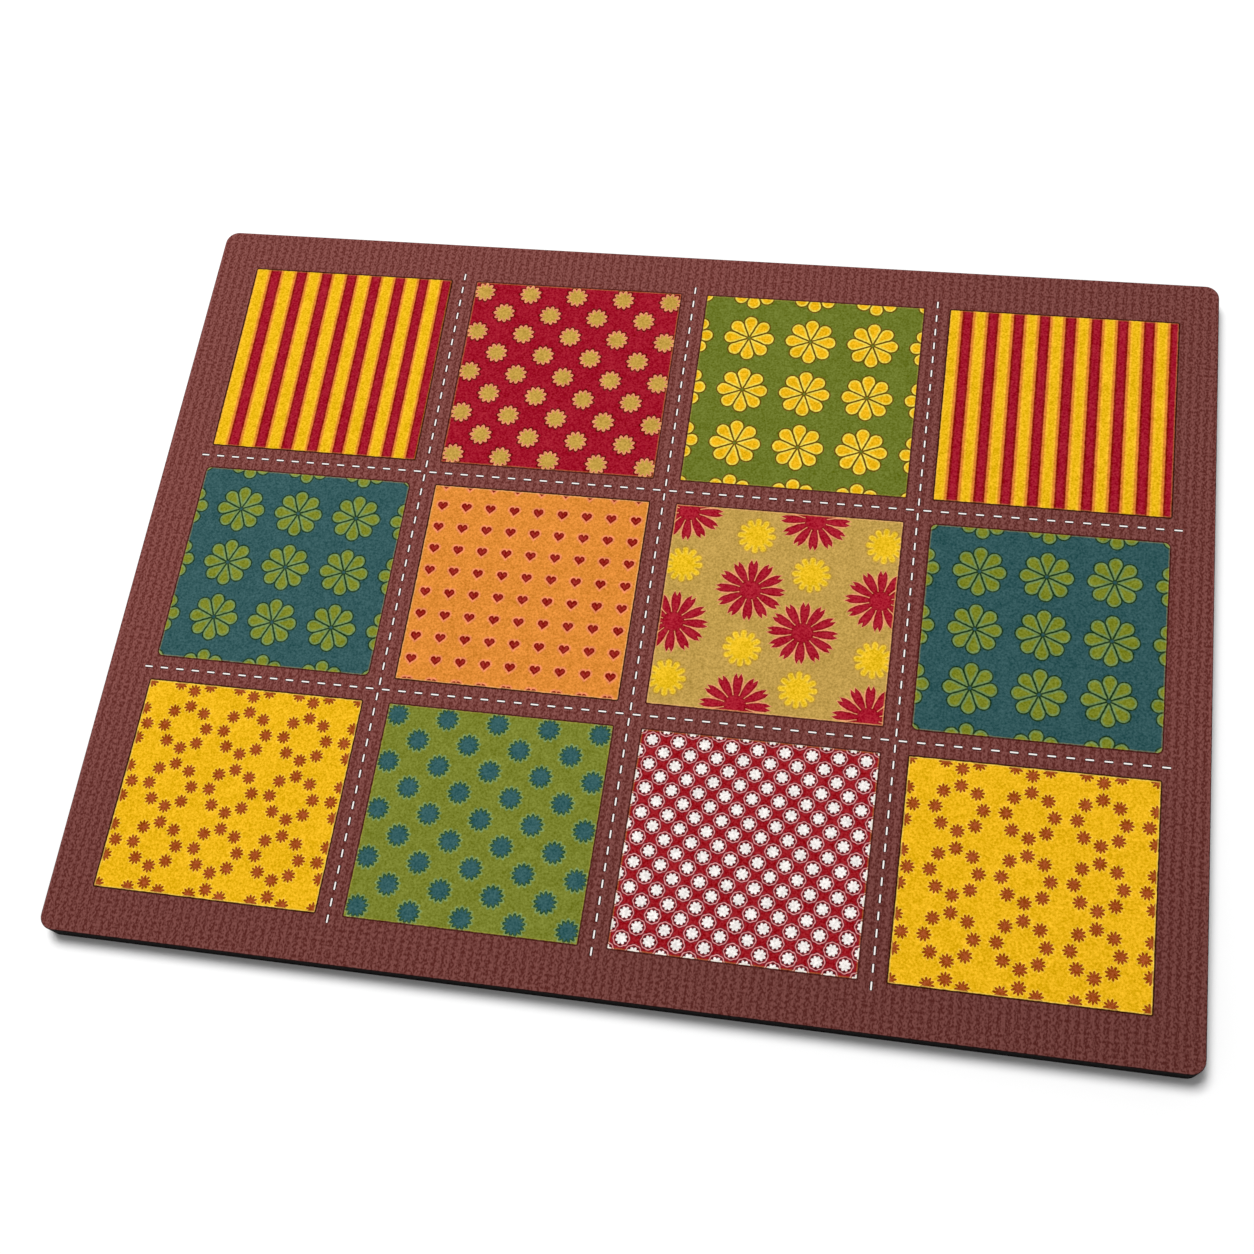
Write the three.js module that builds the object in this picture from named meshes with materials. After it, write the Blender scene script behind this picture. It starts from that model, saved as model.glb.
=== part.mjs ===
import * as THREE from 'three';

// Non-slip trivet: a printed cloth face laminated to a black rubber base.
// Millimetres. X runs along the width, Y from the front edge to the back edge, Z up.
// The origin is the middle of the underside.

// Driving dimensions
const matWidth = 270;
const matDepth = 200;
const matThickness = 6;
const cornerRadius = 3.5;
const clothThickness = 1;
const glueLine = 0.3;
const rimRadius = 0.25;

// Steps round each corner's arc and over each softened rim
const cornerSteps = 8;
const rimSteps = 3;

// Finishes as they look in daylight
const printedClothColor = 0x733e3a;
const printedClothRoughness = 0.9;
const blackRubberColor = 0x0c0b0b;
const blackRubberRoughness = 0.8;

// Heights worked out from the driving dimensions
const clothBottom = matThickness - clothThickness;
const rubberThickness = clothBottom - glueLine;

/** Rectangle with rounded corners, centred on the origin. */
function roundedRectangle(width, depth, radius) {
  const x = width / 2 - radius;
  const y = depth / 2 - radius;
  const quarter = Math.PI / 2;
  const outline = new THREE.Shape();
  outline.absarc(x, -y, radius, -quarter, 0, false);
  outline.absarc(x, y, radius, 0, quarter, false);
  outline.absarc(-x, y, radius, quarter, 2 * quarter, false);
  outline.absarc(-x, -y, radius, 2 * quarter, 3 * quarter, false);
  return outline;
}

/** Flat slab of the mat's outline with softened rims, its underside on Z = 0. */
function matSlab(thickness) {
  const outline = roundedRectangle(
    matWidth - 2 * rimRadius,
    matDepth - 2 * rimRadius,
    cornerRadius - rimRadius,
  );
  const slab = new THREE.ExtrudeGeometry(outline, {
    depth: thickness - 2 * rimRadius,
    bevelEnabled: true,
    bevelThickness: rimRadius,
    bevelSize: rimRadius,
    bevelSegments: rimSteps,
    curveSegments: cornerSteps,
  });
  slab.translate(0, 0, rimRadius);
  return slab;
}

/** Printed cloth face, glued over the whole of the base. */
function makeClothFace() {
  const material = new THREE.MeshStandardMaterial({
    color: printedClothColor,
    roughness: printedClothRoughness,
    metalness: 0,
  });
  const cloth = new THREE.Mesh(matSlab(clothThickness), material);
  cloth.name = 'cloth_face';
  cloth.position.z = clothBottom;
  return cloth;
}

/** Black rubber base that grips the table with its flat underside. */
function makeRubberBase() {
  const material = new THREE.MeshStandardMaterial({
    color: blackRubberColor,
    roughness: blackRubberRoughness,
    metalness: 0,
  });
  const rubber = new THREE.Mesh(matSlab(rubberThickness), material);
  rubber.name = 'rubber_base';
  return rubber;
}

const trivet = new THREE.Group();
trivet.add(makeRubberBase());
trivet.add(makeClothFace());

export default trivet;
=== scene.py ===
"""Looks of a non-slip trivet: a patchwork printed on cloth that is laminated to black rubber.

Places on the print are millimetres from the middle of the mat, X to the right and Y to the back.
Meshes are in metres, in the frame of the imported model.
"""

import logging
import math
from abc import ABC, abstractmethod
from dataclasses import dataclass
from enum import Enum

import bmesh
import bpy
from mathutils import Matrix, Vector


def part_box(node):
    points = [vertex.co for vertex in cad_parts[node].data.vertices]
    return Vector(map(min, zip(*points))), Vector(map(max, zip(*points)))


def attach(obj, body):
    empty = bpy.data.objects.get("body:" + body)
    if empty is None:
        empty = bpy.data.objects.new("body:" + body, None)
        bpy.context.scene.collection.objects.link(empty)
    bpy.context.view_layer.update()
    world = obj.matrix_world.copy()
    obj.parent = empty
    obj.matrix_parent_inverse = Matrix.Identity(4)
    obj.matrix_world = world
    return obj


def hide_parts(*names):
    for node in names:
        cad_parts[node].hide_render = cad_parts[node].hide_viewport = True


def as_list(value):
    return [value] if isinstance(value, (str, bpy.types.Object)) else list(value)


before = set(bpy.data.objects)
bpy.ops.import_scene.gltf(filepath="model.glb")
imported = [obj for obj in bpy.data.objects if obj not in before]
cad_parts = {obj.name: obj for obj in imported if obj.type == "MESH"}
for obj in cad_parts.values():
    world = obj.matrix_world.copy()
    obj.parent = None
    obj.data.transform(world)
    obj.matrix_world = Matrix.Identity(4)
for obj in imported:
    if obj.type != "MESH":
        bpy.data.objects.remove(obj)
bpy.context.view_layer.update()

LOG = logging.getLogger("trivet")
MM = 0.001
BODY = "root"
BAKE_MAP = "OFBake"

# A face whose normal leans on Z by more than this lies flat; heights this close are the same
LEAST_FLAT = 0.2
SAME_HEIGHT = 1e-7

# A noise's middle value, half of a turn as a share of it, and a pitch longer than the mat
NOISE_MIDDLE = 0.5
HALF_TURN = 0.5
ENDLESS = 1000.0

# How much light falls on the mat: dyes are the colours seen in it, and reflect that much less
STUDIO_LIGHT = 1.188

Colour = tuple[float, float, float, float]


def dye(red: float, green: float, blue: float) -> Colour:
    """Work out a dye's reflected colour from the way it looks in the studio, by the sRGB curve.

    Args:
        red: Display value, 0 to 255.
        green: Display value, 0 to 255.
        blue: Display value, 0 to 255.

    Returns:
        The linear colour that the shader takes, with full alpha.
    """
    linear = []
    for value in (red, green, blue):
        share = value / 255
        light = share / 12.92 if share <= 0.04045 else ((share + 0.055) / 1.055) ** 2.4
        linear.append(light / STUDIO_LIGHT)
    return linear[0], linear[1], linear[2], 1.0


# Shader arithmetic


@dataclass(frozen=True)
class Field:
    """A number that varies over a surface, written in sums as a plain number is."""

    recipe: "Recipe"
    socket: bpy.types.NodeSocket

    def __add__(self, other: "Number") -> "Field":
        """Return the sum."""
        return self.recipe.math("ADD", self, other)

    def __sub__(self, other: "Number") -> "Field":
        """Return the difference."""
        return self.recipe.math("SUBTRACT", self, other)

    def __rsub__(self, other: "Number") -> "Field":
        """Return the difference from another number."""
        return self.recipe.math("SUBTRACT", other, self)

    def __mul__(self, other: "Number") -> "Field":
        """Return the product."""
        return self.recipe.math("MULTIPLY", self, other)

    def __truediv__(self, other: "Number") -> "Field":
        """Return the quotient."""
        return self.recipe.math("DIVIDE", self, other)

    def __abs__(self) -> "Field":
        """Return the number without its sign."""
        return self.recipe.math("ABSOLUTE", self)

    __radd__ = __add__
    __rmul__ = __mul__

    def at_least(self, other: "Number") -> "Field":
        """Return the larger of the two."""
        return self.recipe.math("MAXIMUM", self, other)

    def at_most(self, other: "Number") -> "Field":
        """Return the smaller of the two."""
        return self.recipe.math("MINIMUM", self, other)

    def below(self, other: "Number") -> "Field":
        """Return 1 where this number is less than the other, else 0."""
        return self.recipe.math("LESS_THAN", self, other)

    def folded(self, pitch: float) -> "Field":
        """Return the number repeated every pitch, from minus half a pitch to half a pitch."""
        return self.recipe.math("WRAP", self, pitch / 2, -pitch / 2)

    def inside(self, softness: float) -> "Field":
        """Return 1 where this signed distance is negative, fading to 0 across the softness."""
        return self.recipe.math("MULTIPLY_ADD", self, -1 / softness, 0.5, clamp=True)

    def chosen(self, first: "Field", second: "Field") -> "Field":
        """Return the first number where this mask is 1, and the second where it is 0."""
        return self * (first - second) + second

    def eased(self, start: float, end: float) -> "Field":
        """Return 0 before the start, 1 after the end and a smooth rise between them."""
        return self.recipe.math("SMOOTHSTEP", self, start, end)


Number = Field | float
Paint = bpy.types.NodeSocket | Colour


class Recipe:
    """The nodes of one material."""

    def __init__(self, name: str) -> None:
        """Start an empty material.

        Args:
            name: The material's name.
        """
        self.material = bpy.data.materials.new(name)
        self.material.use_nodes = True
        self.tree = self.material.node_tree
        self.tree.nodes.clear()

    def node(
        self, kind: str, settings: dict[str, object], inputs: dict[int | str, object]
    ) -> bpy.types.Node:
        """Add one node.

        Args:
            kind: The node's type, without ShaderNode.
            settings: Its options, which are set before its sockets.
            inputs: The value, field or link of each socket, by name or by number.

        Returns:
            The new node.
        """
        made = self.tree.nodes.new("ShaderNode" + kind)
        for name, value in settings.items():
            setattr(made, name, value)
        for key, value in inputs.items():
            if isinstance(value, Field):
                value = value.socket
            if isinstance(value, bpy.types.NodeSocket):
                self.tree.links.new(value, made.inputs[key])
            else:
                made.inputs[key].default_value = value
        return made

    def math(self, operation: str, *values: Number, clamp: bool = False) -> Field:
        """Add a Math node, or a Map Range node for a smooth step.

        Args:
            operation: The sum to do.
            values: Its numbers and fields, in the node's order.
            clamp: Whether the result is kept from 0 to 1.

        Returns:
            The result.
        """
        if operation == "SMOOTHSTEP":
            made = self.node("MapRange", {"interpolation_type": "SMOOTHSTEP"}, dict(enumerate(values)))
            return Field(self, made.outputs[0])
        made = self.node("Math", {"operation": operation, "use_clamp": clamp}, dict(enumerate(values)))
        return Field(self, made.outputs[0])

    def blend(self, amount: Number, under: Paint, over: Paint) -> bpy.types.NodeSocket:
        """Lay one colour over another.

        Args:
            amount: How much of the upper colour shows, 0 to 1.
            under: The colour beneath.
            over: The colour on top.

        Returns:
            The mixed colour.
        """
        # A Mix node keeps its colours in sockets 6 and 7, and its mixed colour in output 2
        made = self.node("Mix", {"data_type": "RGBA"}, {0: amount, 6: under, 7: over})
        return made.outputs[2]

    def toned(self, paint: Paint, tone: Number) -> bpy.types.NodeSocket:
        """Lighten or darken a colour.

        Args:
            paint: The colour.
            tone: What it is multiplied by.

        Returns:
            The changed colour.
        """
        plain = paint[:3] if isinstance(paint, tuple) else paint
        made = self.node("VectorMath", {"operation": "SCALE"}, {0: plain, "Scale": tone})
        return made.outputs[0]

    def noise(self, place: bpy.types.NodeSocket, per_mm: float, detail: float = 1.0) -> bpy.types.Node:
        """Add a three-dimensional noise.

        Args:
            place: Where it is read, in millimetres.
            per_mm: How many grains there are to a millimetre.
            detail: How many finer layers are added.

        Returns:
            The noise node.
        """
        return self.node("TexNoise", {}, {"Vector": place, "Scale": per_mm, "Detail": detail})

    def millimetres(self) -> bpy.types.NodeSocket:
        """Read the place on the mat.

        Returns:
            The place's socket, in millimetres.
        """
        place = self.node("TexCoord", {}, {}).outputs["Object"]
        scaled = self.node("VectorMath", {"operation": "SCALE"}, {0: place, "Scale": 1 / MM})
        return scaled.outputs[0]

    def finish(self, paint: Paint, surface: "Surface", height: Field | None = None) -> bpy.types.Material:
        """Close the material with its shader.

        Args:
            paint: The base colour.
            surface: The shader's plain numbers.
            height: The relief in millimetres, or nothing for a plain face.

        Returns:
            The finished material.
        """
        inputs: dict[int | str, object] = {
            "Base Color": paint,
            "Roughness": surface.roughness,
            "Specular IOR Level": surface.gloss,
        }
        if height is not None:
            bump = self.node("Bump", {}, {"Distance": MM, "Strength": 1.0, "Height": height})
            inputs["Normal"] = bump.outputs[0]
        shader = self.node("BsdfPrincipled", {}, inputs)
        self.node("OutputMaterial", {}, {"Surface": shader.outputs[0]})
        return self.material


@dataclass(frozen=True)
class Surface:
    """The plain numbers of a finish."""

    roughness: float
    gloss: float


@dataclass(frozen=True)
class Spot:
    """A place on the print, in millimetres from some centre."""

    x: Field
    y: Field

    @property
    def recipe(self) -> Recipe:
        """Return the material that the place is read in."""
        return self.x.recipe

    def moved(self, x: float, y: float) -> "Spot":
        """Return the place seen from another centre."""
        return Spot(self.x - x, self.y - y)

    def radius(self) -> Field:
        """Measure the distance from the centre.

        Returns:
            The distance.
        """
        joined = self.recipe.node("CombineXYZ", {}, {0: self.x, 1: self.y})
        made = self.recipe.node("VectorMath", {"operation": "LENGTH"}, {0: joined.outputs[0]})
        return Field(self.recipe, made.outputs["Value"])

    def angle(self) -> Field:
        """Return the direction from the centre, in radians."""
        return self.recipe.math("ARCTAN2", self.y, self.x)

    def sector(self, count: int) -> "Spot":
        """Fold the plane into one of several equal sectors, the first of which points right.

        Args:
            count: How many sectors there are round the centre.

        Returns:
            The place along the sector's middle line and beside it, on its positive side.
        """
        angle = self.angle().folded(math.tau / count)
        radius = self.radius()
        along = radius * self.recipe.math("COSINE", angle)
        beside = abs(radius * self.recipe.math("SINE", angle))
        return Spot(along, beside)


# Motifs: each gives the signed distance to its outline, in millimetres, negative inside


class Motif(ABC):
    """A printed figure with one outline."""

    @abstractmethod
    def gap(self, spot: Spot) -> Field:
        """Measure how far a place lies beyond the motif's outline.

        Args:
            spot: The place, seen from the motif's centre.

        Returns:
            The signed distance, negative inside.
        """


@dataclass(frozen=True)
class Rosette(Motif):
    """A disc with a scalloped edge."""

    lobes: int
    tip: float
    notch: float
    turn: float = 0.0

    def gap(self, spot: Spot) -> Field:
        """Measure how far a place lies beyond the scalloped edge.

        Args:
            spot: The place, seen from the motif's centre.

        Returns:
            The signed distance, negative inside.
        """
        recipe = spot.recipe
        phase = (spot.angle() - math.radians(self.turn)) * (self.lobes / 2)
        wave = abs(recipe.math("COSINE", phase))
        return spot.radius() - (wave * (self.tip - self.notch) + self.notch)


@dataclass(frozen=True)
class Flower(Motif):
    """Round-ended petals that come to a point beside a small open middle."""

    petals: int
    reach: float
    petal_radius: float
    middle: float

    def gap(self, spot: Spot) -> Field:
        """Measure how far a place lies beyond the nearest petal.

        Args:
            spot: The place, seen from the motif's centre.

        Returns:
            The signed distance, negative inside.
        """
        petal = spot.sector(self.petals).moved(self.middle, 0)
        centre = self.reach - self.petal_radius - self.middle
        half_angle = math.asin(self.petal_radius / centre)
        along = petal.x * math.cos(half_angle) + petal.y * math.sin(half_angle)
        side = petal.y * math.cos(half_angle) - petal.x * math.sin(half_angle)
        end = petal.moved(centre, 0).radius() - self.petal_radius
        return along.below(centre * math.cos(half_angle)).chosen(side, end)


@dataclass(frozen=True)
class Heart(Motif):
    """Two round lobes over a right-angled point, with a notch between them."""

    width: float
    notch: float = 0.88
    lobe_place: tuple[float, float] = (0.25, 0.75)
    cleft_slope: float = math.radians(60)

    def gap(self, spot: Spot) -> Field:
        """Measure how far a place lies beyond the heart's outline, centred on its height.

        Args:
            spot: The place, seen from the motif's centre.

        Returns:
            The signed distance, negative inside.
        """
        recipe = spot.recipe
        lobe = math.sqrt(2) / 4
        unit = self.width / (2 * (self.lobe_place[0] + lobe))
        half_height = (self.lobe_place[1] + lobe) / 2
        x = abs(spot.x) / unit
        y = spot.y / unit + half_height
        place = Spot(x, y)
        slope = (x - y) * math.sqrt(0.5)
        near = abs(slope).at_most(place.moved(0, 1).radius())
        point = near * recipe.math("SIGN", slope)
        top = place.moved(*self.lobe_place).radius() - lobe
        whole = (x + y).below(1.0).chosen(point, top)
        cleft = (y - self.notch) * math.cos(self.cleft_slope) - x * math.sin(self.cleft_slope)
        return whole.at_least(cleft) * unit


@dataclass(frozen=True)
class Daisy(Motif):
    """Separate long petals round a full middle."""

    petals: int
    reach: float
    half_width: float
    widest: float
    narrowing: float
    middle: float
    fork: float = 0.0
    prong: float = 0.0

    def gap(self, spot: Spot) -> Field:
        """Measure how far a place lies beyond the nearest petal or the middle.

        Args:
            spot: The place, seen from the motif's centre.

        Returns:
            The signed distance, negative inside.
        """
        petal = spot.sector(self.petals)
        out = petal.x - self.widest
        sides = petal.y - (self.half_width - out * out * self.narrowing)
        if self.fork:
            end = petal.x - (self.reach - abs(petal.y - self.prong) * self.fork)
        else:
            end = petal.moved(self.reach - self.half_width, 0).radius() - self.half_width
            end = petal.x.below(self.reach - self.half_width).chosen(sides, end)
        return sides.at_least(end).at_most(spot.radius() - self.middle)


@dataclass(frozen=True)
class Ring(Motif):
    """Small rosettes in a ring."""

    count: int
    radius: float
    rosette: Rosette

    def gap(self, spot: Spot) -> Field:
        """Return the distance beyond the nearest rosette."""
        return self.rosette.gap(spot.sector(self.count).moved(self.radius, 0))


@dataclass(frozen=True)
class Bar(Motif):
    """A stripe that runs from front to back."""

    half_width: float

    def gap(self, spot: Spot) -> Field:
        """Return the distance beyond the stripe's side."""
        return abs(spot.x) - self.half_width


class Layout(Enum):
    """How the rows of a repeat stand to one another."""

    SQUARE = "square"
    STAGGERED = "staggered"


@dataclass(frozen=True)
class Repeat:
    """Where the centres of a motif lie: the first one, and the pitch along a row and between rows.

    The narrowing makes the pitch along a row shrink with each millimetre from the first centre. The
    widening is how much wider than deep each motif is printed.
    """

    layout: Layout
    first: tuple[float, float]
    across: float
    between: float
    narrowing: float = 0.0
    widening: float = 1.0

    def nearest(self, spot: Spot) -> Spot:
        """Find the nearest centre.

        Args:
            spot: A place on the mat.

        Returns:
            The place seen from that centre.
        """
        start = spot.moved(*self.first)
        if self.narrowing:
            start = Spot(start.x * (start.x * self.narrowing + 1), start.y)
        if self.layout is Layout.SQUARE:
            return Spot(start.x.folded(self.across) / self.widening, start.y.folded(self.between))
        even = Spot(start.x.folded(self.across), start.y.folded(2 * self.between))
        shifted = start.moved(self.across / 2, self.between)
        odd = Spot(shifted.x.folded(self.across), shifted.y.folded(2 * self.between))
        nearer = even.radius().below(odd.radius())
        return Spot(nearer.chosen(even.x, odd.x), nearer.chosen(even.y, odd.y))


@dataclass(frozen=True)
class Coat:
    """One colour of a motif, laid where the outline's distance is less than the margin."""

    margin: float
    colour: Colour
    softness: float
    strength: float = 1.0


@dataclass(frozen=True)
class Figure:
    """A motif, its repeat and its colours, from the outermost in."""

    motif: Motif
    repeat: Repeat
    coats: tuple[Coat, ...]

    def lay(self, paint: Paint, spot: Spot) -> Paint:
        """Print the motif over what is there.

        Args:
            paint: The colour beneath.
            spot: The place on the mat.

        Returns:
            The colour with the motif on it.
        """
        gap = self.motif.gap(self.repeat.nearest(spot))
        for coat in self.coats:
            amount = (gap - coat.margin).inside(coat.softness) * coat.strength
            paint = spot.recipe.blend(amount, paint, coat.colour)
        return paint


# Cloth finishes


@dataclass(frozen=True)
class Weave:
    """The fine grain of the cloth and of the ink on it."""

    thread: float = 0.42
    relief: float = 0.012
    grain_relief: float = 0.024
    grains: float = 2.1
    grain_depth: float = 0.92
    clouds: float = 0.28
    cloud_depth: float = 0.19
    wobble: float = 0.16
    wobbles: float = 0.9
    lint: float = 0.05

    def grain(self, recipe: Recipe, place: bpy.types.NodeSocket) -> Field:
        """Mix the fine and the broad grain.

        Args:
            recipe: The material.
            place: The place on the mat, in millimetres.

        Returns:
            The tone, about 1.
        """
        fine = Field(recipe, recipe.noise(place, self.grains).outputs["Fac"])
        broad = Field(recipe, recipe.noise(place, self.clouds).outputs["Fac"])
        return (fine - NOISE_MIDDLE) * self.grain_depth + (broad - NOISE_MIDDLE) * self.cloud_depth + 1

    def worn(self, recipe: Recipe, paint: Paint, tone: Field) -> bpy.types.NodeSocket:
        """Tone the ink and add the pale lint that lightens its light grains.

        Args:
            recipe: The material.
            paint: The ink's colour.
            tone: The tone, about 1.

        Returns:
            The toned colour.
        """
        lint = (tone - 1) * self.lint
        grey = recipe.node("CombineXYZ", {}, {0: lint, 1: lint, 2: lint})
        both = {0: recipe.toned(paint, tone), 1: grey.outputs[0]}
        return recipe.node("VectorMath", {"operation": "ADD"}, both).outputs[0]

    def height(self, recipe: Recipe, spot: Spot, grain: Field) -> Field:
        """Raise the threads and the grain.

        Args:
            recipe: The material.
            spot: The place on the print.
            grain: The grain that lifts the ink.

        Returns:
            The relief, in millimetres.
        """
        turns = math.tau / self.thread
        warp = recipe.math("SINE", spot.x * turns)
        weft = recipe.math("SINE", spot.y * turns)
        return (warp * weft) * self.relief + grain * self.grain_relief

    def drift(self, recipe: Recipe, place: bpy.types.NodeSocket) -> Spot:
        """Find the place on the print, with the small unevenness of its outlines.

        Args:
            recipe: The material.
            place: The place on the mat, in millimetres.

        Returns:
            The place on the print.
        """
        noise = recipe.noise(place, self.wobbles, detail=0.0).outputs["Color"]
        middle = (NOISE_MIDDLE,) * 3
        centred = recipe.node("VectorMath", {"operation": "SUBTRACT"}, {0: noise, 1: middle})
        small = recipe.toned(centred.outputs[0], self.wobble)
        moved = recipe.node("VectorMath", {"operation": "ADD"}, {0: place, 1: small})
        parts = recipe.node("SeparateXYZ", {}, {0: moved.outputs[0]})
        x = Field(recipe, parts.outputs[0])
        y = Field(recipe, parts.outputs[1])
        return Spot(x - SLIP.sideways(x, y), y)


@dataclass(frozen=True)
class Slip:
    """How far the printed picture strays sideways, as the print on a soft cloth does."""

    lean: float = 0.00537
    lean_growth: float = 0.000038
    bow: float = 0.0000417
    bow_growth: float = -0.00000038

    def sideways(self, x: Number, y: Number) -> Number:
        """Work out how far a place of the print strays to the right.

        Args:
            x: The place to the right, in millimetres.
            y: The place to the back, in millimetres.

        Returns:
            The stray, in millimetres.
        """
        lean = x * self.lean_growth + self.lean
        bow = x * self.bow_growth + self.bow
        return (lean - bow * y) * y


SLIP = Slip()
CLOTH_SURFACE = Surface(roughness=0.92, gloss=0.05)
WEAVE = Weave()


@dataclass(frozen=True)
class Print:
    """The artwork of one patch: a ground colour and the figures on it."""

    title: str
    ground: Colour
    figures: tuple[Figure, ...]
    # What the patch's colours are multiplied by; below 1 it is painted shade
    depth: float = 1.0
    selvage: float = 0.12
    selvage_colour: Colour = dye(255, 224, 104)
    line_softness: float = 0.1
    selvage_width: float = 0.32
    selvage_blur: float = 0.15

    def dress(self, outline: "Outline", line: Colour) -> bpy.types.Material:
        """Make the patch's material.

        Args:
            outline: The patch's printed edge.
            line: The colour of the thin line round it.

        Returns:
            The material.
        """
        recipe = Recipe("print_" + self.title)
        place = recipe.millimetres()
        spot = WEAVE.drift(recipe, place)
        paint: Paint = self.ground
        for figure in self.figures:
            paint = figure.lay(paint, spot)
        gap = outline.gap(spot)
        pale = (gap + self.selvage_width).eased(0, self.selvage_blur) * self.selvage
        paint = recipe.blend(pale, paint, self.selvage_colour)
        paint = recipe.blend(gap.inside(self.line_softness), line, paint)
        grain = WEAVE.grain(recipe, place)
        height = WEAVE.height(recipe, spot, grain)
        # depth multiplies the tone, so below 1 it paints shade over the whole patch
        return recipe.finish(WEAVE.worn(recipe, paint, grain * self.depth), CLOTH_SURFACE, height)


@dataclass(frozen=True)
class Ribbed:
    """The brown ground, printed like fine corduroy, with painted shade towards the right and the front,
    and a dark line along the mat's edge.
    """

    shade: Colour = dye(102, 44, 39)
    light: Colour = dye(144, 86, 81)
    # The colour of a dark line painted along the mat's edge
    dark_edge: Colour = dye(30, 14, 14)
    rib: float = 2.1
    crest: float = 0.4
    rib_depth: float = 0.26
    rib_relief: float = 0.03
    fleck: tuple[float, float, float] = (2.2, 1.4, 1.0)
    fleck_depth: float = 4.0
    level: float = 0.5
    lightest: float = 1.3
    # Painted shade: the ground is darkened towards the right and towards the front, where the lamp's
    # light falls off
    painted_side_shade: float = 0.13
    painted_side_span: tuple[float, float] = (-40.0, 135.0)
    painted_front_shade: float = 0.17
    painted_front_span: tuple[float, float] = (10.0, 100.0)
    dark_edge_width: float = 0.16
    dark_edge_blur: float = 0.1
    pale_width: float = 0.5
    pale_blur: float = 0.3
    pale_depth: float = 0.3

    def dress(self, outline: "Outline") -> bpy.types.Material:
        """Make the ground's material.

        Args:
            outline: The mat's own edge.

        Returns:
            The material.
        """
        recipe = Recipe("ribbed_ground")
        place = recipe.millimetres()
        spot = WEAVE.drift(recipe, place)
        stretched = recipe.node("VectorMath", {"operation": "MULTIPLY"}, {0: place, 1: self.fleck})
        fleck = Field(recipe, recipe.noise(stretched.outputs[0], 1.0).outputs["Fac"])
        rib = recipe.math("COSINE", (spot.x - self.crest) * (math.tau / self.rib))
        # The mat's own edge doesn't stray with the print
        gap = outline.gap(Spot(spot.x + SLIP.sideways(spot.x, spot.y), spot.y))
        level = rib * self.rib_depth + (fleck - NOISE_MIDDLE) * self.fleck_depth + self.level
        level = level + (gap + self.pale_width).eased(0, self.pale_blur) * self.pale_depth
        paint = recipe.blend(level.at_least(0.0).at_most(self.lightest), self.shade, self.light)
        # tone is painted shade, darker towards the right and towards the front
        tone = 1 - spot.x.eased(*self.painted_side_span) * self.painted_side_shade
        tone = tone * (1 - (0 - spot.y).eased(*self.painted_front_span) * self.painted_front_shade)
        # The outermost strip of the ground, along the mat's edge, is painted dark
        dark_edge = (gap + self.dark_edge_width).eased(-self.dark_edge_blur, self.dark_edge_blur)
        paint = recipe.blend(dark_edge, recipe.toned(paint, tone), self.dark_edge)
        height = WEAVE.height(recipe, spot, fleck) + rib * self.rib_relief
        return recipe.finish(paint, CLOTH_SURFACE, height)


@dataclass(frozen=True)
class Stitching:
    """The pale printed thread, or its dark outline."""

    title: str
    colour: Colour
    tone_depth: float
    grains: float = 3.0
    relief: float = 0.02

    def dress(self) -> bpy.types.Material:
        """Make the material of the dashes.

        Returns:
            The material.
        """
        recipe = Recipe(self.title)
        fine = Field(recipe, recipe.noise(recipe.millimetres(), self.grains).outputs["Fac"])
        paint = recipe.toned(self.colour, (fine - NOISE_MIDDLE) * self.tone_depth + 1)
        return recipe.finish(paint, CLOTH_SURFACE, fine * self.relief)


@dataclass(frozen=True)
class FoamRubber:
    """Black foamed rubber with a fine closed grain."""

    dark: Colour = dye(6, 5, 5)
    dusty: Colour = dye(19, 17, 17)
    cells: float = 3.2
    cell_depth: float = 0.05
    dust: float = 1.4
    dust_layers: float = 3.0
    dust_span: tuple[float, float] = (0.45, 0.75)
    surface: Surface = Surface(roughness=0.85, gloss=0.04)

    def dress(self) -> bpy.types.Material:
        """Make the material of the base.

        Returns:
            The material.
        """
        recipe = Recipe("foam_rubber")
        place = recipe.millimetres()
        cells = recipe.node("TexVoronoi", {}, {"Vector": place, "Scale": self.cells})
        pore = Field(recipe, cells.outputs["Distance"])
        speck = Field(recipe, recipe.noise(place, self.dust, self.dust_layers).outputs["Fac"])
        paint = recipe.blend(speck.eased(*self.dust_span), self.dark, self.dusty)
        return recipe.finish(paint, self.surface, (pore + speck) * self.cell_depth)


# Outlines and meshes


@dataclass(frozen=True)
class Outline:
    """An upright rectangle with rounded corners, in millimetres from the middle of the mat."""

    left: float
    right: float
    front: float
    back: float
    corner: float

    @property
    def centre(self) -> tuple[float, float]:
        """Return the rectangle's middle."""
        return (self.left + self.right) / 2, (self.front + self.back) / 2

    @property
    def size(self) -> tuple[float, float]:
        """Return the rectangle's width and depth."""
        return self.right - self.left, self.back - self.front

    def grown(self, margin: float) -> "Outline":
        """Add a margin all round.

        Args:
            margin: How wide it is, in millimetres.

        Returns:
            The larger rectangle.
        """
        return Outline(
            self.left - margin,
            self.right + margin,
            self.front - margin,
            self.back + margin,
            self.corner + margin,
        )

    def gap(self, spot: Spot) -> Field:
        """Measure how far a place lies beyond the rectangle's edge.

        Args:
            spot: The place on the mat, in millimetres.

        Returns:
            The signed distance, negative inside.
        """
        local = spot.moved(*self.centre)
        width, depth = self.size
        over_x = abs(local.x) - (width / 2 - self.corner)
        over_y = abs(local.y) - (depth / 2 - self.corner)
        outer = Spot(over_x.at_least(0.0), over_y.at_least(0.0)).radius()
        return outer + over_x.at_least(over_y).at_most(0.0) - self.corner


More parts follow.
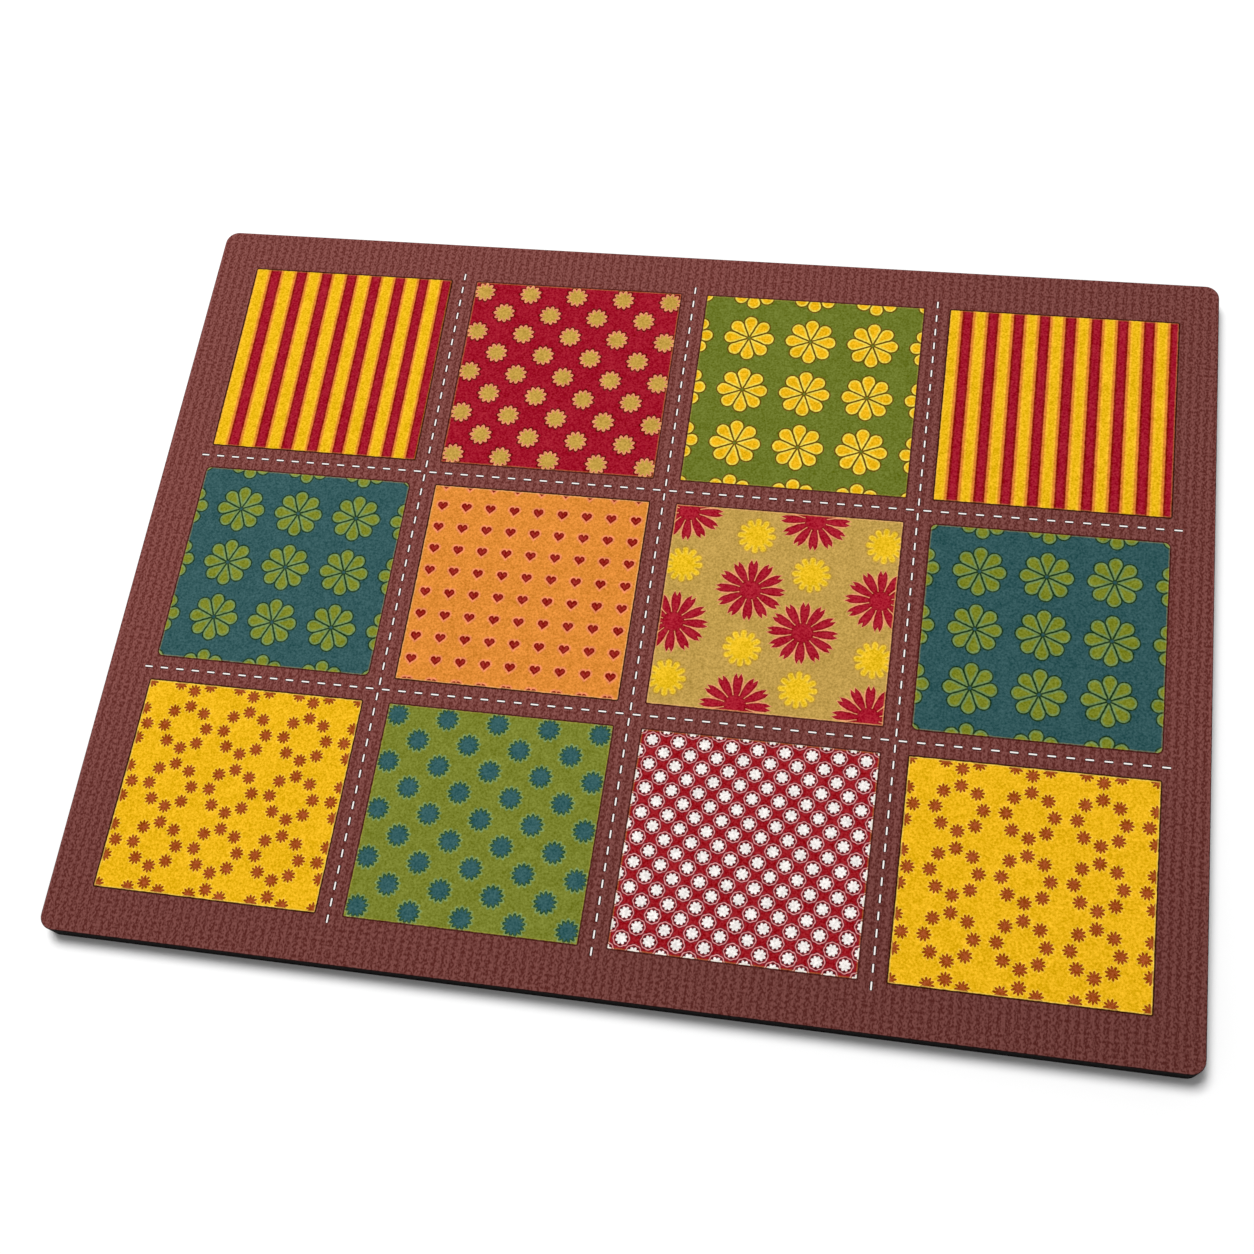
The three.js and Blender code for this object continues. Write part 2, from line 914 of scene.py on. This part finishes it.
@dataclass(frozen=True)
class MapBox:
    """A rectangle of the bake map, in shares of it."""

    left: float
    bottom: float
    width: float
    height: float

    def at(self, across: float, along: float) -> tuple[float, float]:
        """Return the place in the map of a share of the width and of the height."""
        return self.left + self.width * across, self.bottom + self.height * along


TOP_MAP = MapBox(0.01, 0.07, 0.98, 0.92)
UNDERSIDE_MAP = MapBox(0.01, 0.03, 0.4, 0.03)
SIDE_MAP = MapBox(0.01, 0.005, 0.98, 0.02)


class Rounded(Enum):
    """What a bevel rounds off."""

    CORNERS = "VERTICES"
    EDGES = "EDGES"


def round_off(mesh: bmesh.types.BMesh, items: list, kind: Rounded, offset: float, steps: int) -> None:
    """Round off corners or edges.

    Args:
        mesh: The mesh.
        items: The vertices or edges.
        kind: Which of the two they are.
        offset: How far the round reaches, in millimetres.
        steps: How many faces make it.
    """
    bmesh.ops.bevel(
        mesh,
        geom=items,
        offset=offset * MM,
        offset_type="OFFSET",
        segments=steps,
        profile=0.5,
        affect=kind.value,
        material=-1,
    )


@dataclass(frozen=True)
class Plate:
    """A flat closed sheet of some outline, with softened rims."""

    outline: Outline
    bottom: float
    top: float
    top_rim: float
    bottom_rim: float = 0.0
    corner_steps: int = 8
    rim_steps: int = 4
    slip: Slip | None = None

    def build(self, name: str, material: bpy.types.Material) -> bpy.types.Object:
        """Make the sheet's object.

        Args:
            name: The object's name.
            material: What it wears.

        Returns:
            The object, with its bake map laid out.
        """
        mesh = bmesh.new()
        width, depth = self.outline.size
        centre = self.outline.centre
        place = Matrix.Translation((centre[0] * MM, centre[1] * MM, self.bottom * MM))
        scale = Matrix.Diagonal((width / 2 * MM, depth / 2 * MM, 1, 1))
        bmesh.ops.create_grid(mesh, x_segments=1, y_segments=1, size=1, matrix=place @ scale)
        round_off(mesh, mesh.verts[:], Rounded.CORNERS, self.outline.corner, self.corner_steps)
        pulled = bmesh.ops.extrude_face_region(mesh, geom=mesh.faces[:])["geom"]
        raised = [item for item in pulled if isinstance(item, bmesh.types.BMVert)]
        bmesh.ops.translate(mesh, verts=raised, vec=(0, 0, (self.top - self.bottom) * MM))
        bmesh.ops.recalc_face_normals(mesh, faces=mesh.faces[:])
        for level, rim in ((self.top, self.top_rim), (self.bottom, self.bottom_rim)):
            if rim:
                edges = [edge for edge in mesh.edges if self._lies_at(edge, level)]
                round_off(mesh, edges, Rounded.EDGES, rim, self.rim_steps)
        self._lay_out_map(mesh)
        if self.slip:
            for vert in mesh.verts:
                vert.co.x += self.slip.sideways(vert.co.x / MM, vert.co.y / MM) * MM
        return finished(mesh, name, material)

    def _lies_at(self, edge: bmesh.types.BMEdge, level: float) -> bool:
        """Return whether an edge runs round the sheet at a height in millimetres."""
        return all(abs(vert.co.z - level * MM) < SAME_HEIGHT for vert in edge.verts)

    def _lay_out_map(self, mesh: bmesh.types.BMesh) -> None:
        """Give the top nearly the whole bake map, and the sides and underside narrow strips.

        Args:
            mesh: The mesh that gets the map.
        """
        layer = mesh.loops.layers.uv.new(BAKE_MAP)
        width, depth = self.outline.size
        middle = Vector(self.outline.centre) * MM
        start = min(math.atan2(v.co.y - middle.y, v.co.x - middle.x) for v in mesh.verts)
        for face in mesh.faces:
            if abs(face.normal.z) > LEAST_FLAT:
                box = TOP_MAP if face.normal.z > 0 else UNDERSIDE_MAP
                for loop in face.loops:
                    local = loop.vert.co.xy - middle
                    loop[layer].uv = box.at(local.x / (width * MM) + 0.5, local.y / (depth * MM) + 0.5)
                continue
            turns = []
            for loop in face.loops:
                local = loop.vert.co.xy - middle
                turns.append((math.atan2(local.y, local.x) - start) % math.tau / math.tau)
            crosses_start = max(turns) - min(turns) > HALF_TURN
            for loop, turn in zip(face.loops, turns):
                if crosses_start and turn < HALF_TURN:
                    turn += 1
                share = (loop.vert.co.z / MM - self.bottom) / (self.top - self.bottom)
                loop[layer].uv = SIDE_MAP.at(turn, share)


def finished(mesh: bmesh.types.BMesh, name: str, material: bpy.types.Material) -> bpy.types.Object:
    """Turn a bmesh into an object of the scene.

    Args:
        mesh: The bmesh, which is freed.
        name: The object's name.
        material: What it wears.

    Returns:
        The object, at the origin.
    """
    data = bpy.data.meshes.new(name)
    mesh.to_mesh(data)
    mesh.free()
    data.materials.append(material)
    made = bpy.data.objects.new(name, data)
    bpy.context.scene.collection.objects.link(made)
    LOG.info("%s: %d faces", name, len(data.polygons))
    return made


@dataclass(frozen=True)
class Patch:
    """One printed patch: its place, its artwork and the line round it."""

    name: str
    outline: Outline
    artwork: Print
    line: Colour
    thickness: float = 0.03
    sunk: float = 0.01
    line_width: float = 0.38
    rim: float = 0.01

    def build(self, level: float) -> bpy.types.Object:
        """Make the patch.

        Args:
            level: The height of the cloth's face, in millimetres.

        Returns:
            The patch's object.
        """
        plate = Plate(
            self.outline.grown(self.line_width),
            bottom=level - self.sunk,
            top=level + self.thickness - self.sunk,
            top_rim=self.rim,
            corner_steps=4,
            rim_steps=1,
            slip=SLIP,
        )
        return plate.build(self.name, self.artwork.dress(self.outline, self.line))


@dataclass(frozen=True)
class StitchRow:
    """A row of running stitches, whose pitch grows a little along it."""

    upright: bool
    offset: float
    start: float
    count: int
    pitch: float
    growth: float

    def centres(self) -> list[tuple[float, float]]:
        """Place the stitches.

        Returns:
            The middle of each stitch, in millimetres.
        """
        found = []
        for number in range(self.count):
            along = self.start + number * self.pitch + number * (number - 1) / 2 * self.growth
            found.append((self.offset, along) if self.upright else (along, self.offset))
        return found


@dataclass(frozen=True)
class Dash:
    """The size of one stitch: its length and width, and how proud of the cloth it stands."""

    length: float
    width: float
    proud: float
    sunk: float = 0.02
    rounding: float = 0.3
    rounding_steps: int = 2


@dataclass(frozen=True)
class Stitches:
    """All stitches of one colour, as low round-ended dashes in one mesh."""

    name: str
    finish: Stitching
    rows: tuple[StitchRow, ...]
    dash: Dash

    def build(self, level: float) -> bpy.types.Object:
        """Make the joined mesh of all dashes.

        Args:
            level: The height of the cloth's face, in millimetres.

        Returns:
            The object.
        """
        mesh = bmesh.new()
        for row in self.rows:
            for centre in row.centres():
                self._add(mesh, centre, row.upright, level)
        return finished(mesh, self.name, self.finish.dress())

    def _add(
        self, mesh: bmesh.types.BMesh, centre: tuple[float, float], upright: bool, level: float
    ) -> None:
        """Add one dash.

        Args:
            mesh: The mesh that it is added to.
            centre: Its middle, in millimetres.
            upright: Whether it runs from front to back.
            level: The height of the cloth's face, in millimetres.
        """
        dash = self.dash
        height = dash.proud + dash.sunk
        centre = (centre[0] + SLIP.sideways(*centre), centre[1])
        place = Matrix.Translation(Vector((*centre, level - dash.sunk + height / 2)) * MM)
        turn = Matrix.Rotation(math.pi / 2 if upright else 0, 4, "Z")
        scale = Matrix.Diagonal((dash.length * MM, dash.width * MM, height * MM, 1))
        made = bmesh.ops.create_cube(mesh, size=1, matrix=place @ turn @ scale)["verts"]
        edges = dict.fromkeys(edge for vert in made for edge in vert.link_edges)
        uprights = [e for e in edges if abs(e.verts[0].co.z - e.verts[1].co.z) > height * MM / 2]
        round_off(mesh, uprights, Rounded.EDGES, dash.width * dash.rounding, dash.rounding_steps)


# Dyes and artwork


STRIPE_YELLOW = dye(241, 189, 20)
STRIPE_CRIMSON = dye(166, 22, 45)
STRIPE_EDGE = dye(140, 17, 6)
STRIPE_ORANGE = dye(228, 130, 58)
STRIPE_LINE = dye(222, 140, 36)
STRIPE_GLOW = dye(252, 190, 46)
GOLD = dye(199, 160, 70)
PEACH = dye(240, 152, 112)
DARK_CRIMSON = dye(104, 14, 6)
CRIMSON = dye(163, 18, 41)
GREEN = dye(109, 121, 40)
GREEN_SHADE = dye(106, 72, 0)
PETAL_RIM = dye(242, 218, 84)
PETAL_CORE = dye(242, 184, 18)
TEAL = dye(53, 92, 95)
TEAL_SHADE = dye(38, 62, 34)
OLIVE_RIM = dye(122, 150, 92)
OLIVE_CORE = dye(130, 138, 40)
ORANGE = dye(229, 142, 54)
HEART_GLOW = dye(246, 146, 98)
HEART_EDGE = dye(140, 24, 2)
HEART_CORE = dye(166, 44, 40)
KHAKI = dye(197, 160, 79)
KHAKI_GLOW = dye(238, 158, 114)
DAISY_EDGE = dye(136, 14, 20)
DAISY_CORE = dye(172, 26, 46)
YELLOW_SHADE = dye(198, 150, 38)
YELLOW_RIM = dye(243, 205, 64)
YELLOW_CORE = dye(241, 194, 30)
SUN_YELLOW = dye(244, 187, 23)
SUN_GLOW = dye(252, 202, 60)
RUST_TIP = dye(150, 66, 6)
RUST_CORE = dye(172, 82, 34)
LEAF = dye(126, 134, 46)
LEAF_GLOW = dye(130, 156, 98)
LAKE_TIP = dye(50, 82, 44)
LAKE_CORE = dye(53, 96, 99)
RED = dye(160, 22, 32)
MAROON = dye(120, 34, 44)
LACE = dye(234, 164, 164)
LACE_SHADE = dye(148, 26, 38)
WHITE = dye(250, 244, 240)
DOT = dye(84, 30, 36)
THREAD = dye(255, 250, 246)
THREAD_SHADE = dye(52, 18, 18)

# How far a colour's edge fades, in millimetres, and a petal's radius as a share of its flower's
CRISP = 0.1
EASY = 0.35
PETAL_SHARE = 0.25

# How strongly the pale line inside a bright patch's edge shows, and its colour on a warm ground
BRIGHT_SELVAGE = 0.5
PEACH_EDGE = dye(250, 190, 122)


def stripes(title: str, repeat: Repeat, half_width: float) -> Print:
    """Describe a crimson patch with yellow stripes.

    Args:
        title: The print's name.
        repeat: Where the yellow stripes lie.
        half_width: Half of a yellow stripe with its orange borders.

    Returns:
        The print.
    """
    coats = (
        Coat(0.55, STRIPE_EDGE, EASY),
        Coat(0.0, STRIPE_ORANGE, 0.2),
        Coat(-0.36, STRIPE_LINE, 0.2),
        Coat(-0.68, STRIPE_GLOW, 0.25),
        Coat(-1.1, STRIPE_YELLOW, EASY),
    )
    return Print(title, STRIPE_CRIMSON, (Figure(Bar(half_width), repeat, coats),))


def eight_petals(
    title: str, palette: tuple[Colour, ...], reach: float, repeat: Repeat, depth: float = 1.0
) -> Print:
    """Describe a patch of eight-petalled flowers.

    Args:
        title: The print's name.
        palette: The colours of the ground, and of the petals' dark outline, pale rim and middle.
        reach: The distance from a flower's centre to its petals' ends.
        repeat: Where the flowers lie.
        depth: What the patch's colours are multiplied by; below 1 it is painted shade.

    Returns:
        The print.
    """
    ground, shade, rim, core = palette
    coats = (
        Coat(0.36, shade, 0.2),
        Coat(0.0, rim, CRISP),
        Coat(-0.42, core, 0.3),
    )
    flower = Flower(petals=8, reach=reach, petal_radius=PETAL_SHARE * reach, middle=0.6)
    eye = Figure(Rosette(lobes=8, tip=0.46, notch=0.3), repeat, (Coat(0.0, ground, 0.2),))
    return Print(title, ground, (Figure(flower, repeat, coats), eye), depth=depth)


def flower_rings(title: str, repeat: Repeat) -> Print:
    """Describe a yellow patch with rings of small rust flowers.

    Args:
        title: The print's name.
        repeat: Where the rings lie.

    Returns:
        The print.
    """
    coats = (
        Coat(0.3, SUN_GLOW, EASY),
        Coat(0.0, RUST_TIP, CRISP),
        Coat(-0.6, RUST_CORE, 0.5),
    )
    ring = Ring(count=8, radius=5.48, rosette=Rosette(lobes=10, tip=1.76, notch=0.92))
    return Print(title, SUN_YELLOW, (Figure(ring, repeat, coats),), selvage=BRIGHT_SELVAGE)


def gold_rosettes() -> Print:
    """Describe the crimson patch with gold rosettes.

    Returns:
        The print.
    """
    coats = (
        Coat(0.48, DARK_CRIMSON, 0.25),
        Coat(0.0, PEACH, CRISP),
        Coat(-0.5, GOLD, EASY),
    )
    rosette = Rosette(lobes=11, tip=2.9, notch=2.02, turn=-15.0)
    repeat = Repeat(Layout.STAGGERED, (-57.3, 85.23), 12.73, 6.24)
    return Print("gold_rosettes", CRIMSON, (Figure(rosette, repeat, coats),))


def teal_rosettes() -> Print:
    """Describe the leaf-green patch with teal rosettes.

    Returns:
        The print.
    """
    coats = (
        Coat(0.4, LEAF_GLOW, 0.3),
        Coat(0.0, LAKE_TIP, CRISP),
        Coat(-0.5, LAKE_CORE, EASY),
    )
    rosette = Rosette(lobes=13, tip=2.82, notch=2.06, turn=11.0)
    repeat = Repeat(Layout.STAGGERED, (-57.37, -37.49), 12.7, 6.01)
    return Print("teal_rosettes", LEAF, (Figure(rosette, repeat, coats),))


def hearts() -> Print:
    """Describe the orange patch with small hearts.

    Returns:
        The print.
    """
    coats = (
        Coat(0.42, HEART_GLOW, EASY),
        Coat(0.0, HEART_EDGE, CRISP),
        Coat(-0.48, HEART_CORE, 0.25),
    )
    repeat = Repeat(Layout.SQUARE, (-57.12, 20.0), 6.33, 6.08)
    heart = Figure(Heart(width=2.66), repeat, coats)
    return Print("hearts", ORANGE, (heart,), selvage=BRIGHT_SELVAGE, selvage_colour=PEACH_EDGE)


def daisies() -> Print:
    """Describe the khaki patch with crimson and yellow daisies.

    Returns:
        The print.
    """
    across = 31.9
    between = 30.4
    forked = Daisy(
        petals=12,
        reach=8.15,
        half_width=1.1,
        widest=5.9,
        narrowing=0.048,
        middle=2.6,
        fork=2.2,
        prong=0.55,
    )
    plain = Daisy(petals=12, reach=4.74, half_width=0.72, widest=3.9, narrowing=0.03, middle=3.1)
    crimson = (
        Coat(0.3, KHAKI_GLOW, 0.2),
        Coat(0.0, DAISY_EDGE, CRISP),
        Coat(-0.25, DAISY_CORE, 0.5),
    )
    yellow = (
        Coat(0.26, YELLOW_SHADE, EASY, 0.8),
        Coat(0.0, YELLOW_RIM, 0.2),
        Coat(-0.3, YELLOW_CORE, EASY),
    )
    figures = []
    for motif, coats, widening, centres in (
        (plain, yellow, 1.0, ((24.5, 18.73), (39.15, 9.33))),
        (forked, crimson, 1.06, ((24.65, 3.93), (38.65, -6.27))),
    ):
        for centre in centres:
            repeat = Repeat(Layout.SQUARE, centre, across, between, widening=widening)
            figures.append(Figure(motif, repeat, coats))
    return Print("daisies", KHAKI, tuple(figures), selvage=BRIGHT_SELVAGE, selvage_colour=PEACH_EDGE)


def white_rosettes() -> Print:
    """Describe the red patch with close-set white rosettes.

    Returns:
        The print.
    """
    repeat = Repeat(Layout.STAGGERED, (6.13, -37.25), 6.39, 3.02)
    lace = Figure(
        Rosette(lobes=8, tip=2.0, notch=1.84),
        repeat,
        (Coat(0.25, MAROON, 0.3, 0.8), Coat(0.0, LACE, CRISP), Coat(-0.21, LACE_SHADE, CRISP)),
    )
    disc = Figure(
        Rosette(lobes=8, tip=1.42, notch=0.94, turn=22.5),
        repeat,
        (Coat(0.0, WHITE, CRISP),),
    )
    dots = Figure(
        Ring(count=8, radius=1.44, rosette=Rosette(lobes=2, tip=0.3, notch=0.24, turn=90.0)),
        repeat,
        (Coat(0.0, DOT, CRISP),),
    )
    return Print("white_rosettes", RED, (lace, disc, dots))


@dataclass(frozen=True)
class Patchwork:
    """The twelve patches, in three rows of four."""

    lefts: tuple[float, ...] = (-122.8, -59.94, 3.31, 67.07)
    rights: tuple[float, ...] = (-67.15, -3.89, 60.11, 124.18)
    backs: tuple[float, ...] = (88.17, 25.74, -34.89)
    fronts: tuple[float, ...] = (32.76, -28.06, -88.21)
    warm_line: Colour = dye(62, 28, 12)
    cool_line: Colour = dye(80, 34, 30)
    round_corner: float = 1.3
    sharp_corner: float = 0.2

    def outline(self, row: int, column: int, corner: float) -> Outline:
        """Outline one patch.

        Args:
            row: Its row, from the back.
            column: Its column, from the left.
            corner: The radius of its corners.

        Returns:
            Its printed edge.
        """
        return Outline(
            self.lefts[column],
            self.rights[column],
            self.fronts[row],
            self.backs[row],
            corner,
        )

    def patches(self) -> list[Patch]:
        """Describe all patches.

        Returns:
            The patches, from the back left to the front right.
        """
        left_stripes = Repeat(Layout.SQUARE, (-121.12, 0.0), 7.667, ENDLESS, narrowing=0.0017)
        right_stripes = Repeat(Layout.SQUARE, (68.2, 0.0), 6.513, ENDLESS)
        yellow_flowers = Repeat(Layout.SQUARE, (15.71, 75.94), 16.1, 15.7)
        left_flowers = Repeat(Layout.SQUARE, (-110.73, 14.39), 15.7, 15.4)
        right_flowers = Repeat(Layout.SQUARE, (79.61, 14.1), 16.06, 15.3)
        left_rings = Repeat(Layout.SQUARE, (-110.59, -46.36), 15.6, 15.05)
        right_rings = Repeat(Layout.SQUARE, (79.47, -46.26), 16.06, 15.06)
        gold_leaf = (GREEN, GREEN_SHADE, PETAL_RIM, PETAL_CORE)
        olive = (TEAL, TEAL_SHADE, OLIVE_RIM, OLIVE_CORE)
        warm, cool = self.warm_line, self.cool_line
        sharp, rounded = self.sharp_corner, self.round_corner
        artwork = (
            (stripes("stripes_left", left_stripes, half_width=2.27), warm, sharp),
            (gold_rosettes(), cool, sharp),
            (eight_petals("yellow_flowers", gold_leaf, 6.45, yellow_flowers), cool, sharp),
            (stripes("stripes_right", right_stripes, half_width=1.91), warm, sharp),
            (eight_petals("olive_flowers_left", olive, 6.3, left_flowers), cool, rounded),
            (hearts(), warm, sharp),
            (daisies(), cool, sharp),
            # This copy of the olive print is darkened by depth as painted shade, as the ground is towards
            # the right
            (eight_petals("olive_flowers_right", olive, 6.38, right_flowers, depth=0.95), cool, rounded),
            (flower_rings("flower_rings_left", left_rings), warm, sharp),
            (teal_rosettes(), cool, sharp),
            (white_rosettes(), cool, sharp),
            (flower_rings("flower_rings_right", right_rings), warm, sharp),
        )
        found = []
        for number, (art, line, corner) in enumerate(artwork):
            row, column = divmod(number, len(self.lefts))
            found.append(Patch("patch_" + art.title, self.outline(row, column, corner), art, line))
        return found


@dataclass(frozen=True)
class ClothFace:
    """The printed cloth: one sheet, its twelve printed patches and its running stitches."""

    thickness: float = 0.5
    corner: float = 3.5
    rim: float = 0.3
    thread: Dash = Dash(length=1.95, width=0.37, proud=0.05)
    thread_shadow: Dash = Dash(length=2.15, width=0.85, proud=0.01)
    stitch_rows: tuple[StitchRow, ...] = (
        StitchRow(upright=True, offset=-63.62, start=-89.35, count=45, pitch=3.97, growth=0.0045),
        StitchRow(upright=True, offset=-0.27, start=-89.4, count=45, pitch=3.97, growth=0.0045),
        StitchRow(upright=True, offset=63.53, start=-89.4, count=45, pitch=3.97, growth=0.0045),
        StitchRow(upright=False, offset=29.38, start=-124.2, count=60, pitch=4.16, growth=0.0028),
        StitchRow(upright=False, offset=-31.4, start=-124.3, count=60, pitch=4.15, growth=0.0028),
    )

    def build(self) -> list[bpy.types.Object]:
        """Make the cloth and all that is printed on it.

        Returns:
            The sheet first, then the patches and the stitches.
        """
        low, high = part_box("cloth_face")
        outline = Outline(low.x / MM, high.x / MM, low.y / MM, high.y / MM, self.corner)
        top = high.z / MM
        plate = Plate(outline, bottom=top - self.thickness, top=top, top_rim=self.rim)
        sheet = plate.build("cloth_sheet", Ribbed().dress(outline))
        printed = [patch.build(top) for patch in Patchwork().patches()]
        dark = Stitching("stitch_outline", THREAD_SHADE, tone_depth=0.3)
        pale = Stitching("pale_thread", THREAD, tone_depth=0.1)
        shadow = Stitches("stitch_outlines", dark, self.stitch_rows, self.thread_shadow)
        thread = Stitches("running_stitches", pale, self.stitch_rows, self.thread)
        return [sheet, *printed, shadow.build(top), thread.build(top)]


@dataclass(frozen=True)
class RubberBase:
    """The foamed rubber that the cloth is laminated to."""

    corner: float = 3.5
    rim: float = 0.25

    def build(self, top: float) -> bpy.types.Object:
        """Make the base.

        Args:
            top: The height of the cloth's underside, in millimetres.

        Returns:
            The base's object.
        """
        low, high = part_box("rubber_base")
        outline = Outline(low.x / MM, high.x / MM, low.y / MM, high.y / MM, self.corner)
        plate = Plate(outline, bottom=low.z / MM, top=top, top_rim=0.0, bottom_rim=self.rim)
        return plate.build("rubber_pad", FoamRubber().dress())


@dataclass(frozen=True)
class Studio:
    """The pale floor, the soft light and the camera."""

    floor_size: float = 12.0
    floor_colour: Colour = (0.96, 0.96, 0.96, 1.0)
    floor_surface: Surface = Surface(roughness=0.9, gloss=0.1)
    key_place: tuple[float, float, float] = (-0.34, 0.56, 1.7)
    key_size: float = 0.8
    key_power: float = 32.4
    sky_colour: Colour = (1.0, 1.0, 1.0, 1.0)
    sky_strength: float = 0.281
    camera_place: tuple[float, float, float] = (0.0610562, -0.1598832, 0.3855367)
    camera_turn: tuple[float, float, float] = (22.5817, 6.4782, 8.2733)
    lens: float = 48.06
    film_width: float = 36.0
    nearest: float = 0.01

    def build(self) -> None:
        """Make the floor, the lights and the camera."""
        self._floor()
        self._lights()
        self._camera()

    def _floor(self) -> None:
        """Lay the plain floor."""
        mesh = bmesh.new()
        bmesh.ops.create_grid(mesh, x_segments=1, y_segments=1, size=self.floor_size / 2)
        paper = Recipe("plain_floor").finish(self.floor_colour, self.floor_surface)
        finished(mesh, "floor", paper)

    def _lights(self) -> None:
        """Hang the soft key light and set the pale surroundings."""
        lamp = bpy.data.lights.new("key", "AREA")
        lamp.energy = self.key_power
        lamp.shape = "SQUARE"
        lamp.size = self.key_size
        key = bpy.data.objects.new("key", lamp)
        key.location = self.key_place
        key.rotation_euler = (-Vector(self.key_place)).to_track_quat("-Z", "Y").to_euler()
        bpy.context.scene.collection.objects.link(key)
        world = bpy.data.worlds.new("studio")
        world.use_nodes = True
        background = world.node_tree.nodes["Background"]
        background.inputs["Color"].default_value = self.sky_colour
        background.inputs["Strength"].default_value = self.sky_strength
        bpy.context.scene.world = world
        bpy.context.scene.view_settings.view_transform = "Standard"

    def _camera(self) -> None:
        """Place the camera at the photograph's angle."""
        data = bpy.data.cameras.new("camera")
        data.lens = self.lens
        data.sensor_width = self.film_width
        data.clip_start = self.nearest
        camera = bpy.data.objects.new("camera", data)
        camera.location = self.camera_place
        camera.rotation_euler = [math.radians(angle) for angle in self.camera_turn]
        bpy.context.scene.collection.objects.link(camera)
        bpy.context.scene.camera = camera


def main() -> None:
    """Build the trivet's looks and the studio."""
    logging.basicConfig(level=logging.INFO, format="%(name)s: %(message)s")
    Studio().build()
    face = ClothFace()
    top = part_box("cloth_face")[1].z / MM
    base = RubberBase().build(top - face.thickness)
    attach(base, BODY)
    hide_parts("rubber_base")
    pieces = face.build()
    for piece in pieces:
        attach(piece, BODY)
        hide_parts("cloth_face")
    sheet, *printed = pieces
    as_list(printed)
    LOG.info("%d pieces on the mat", len(pieces) + 1)


if __name__ == "__main__":
    main()
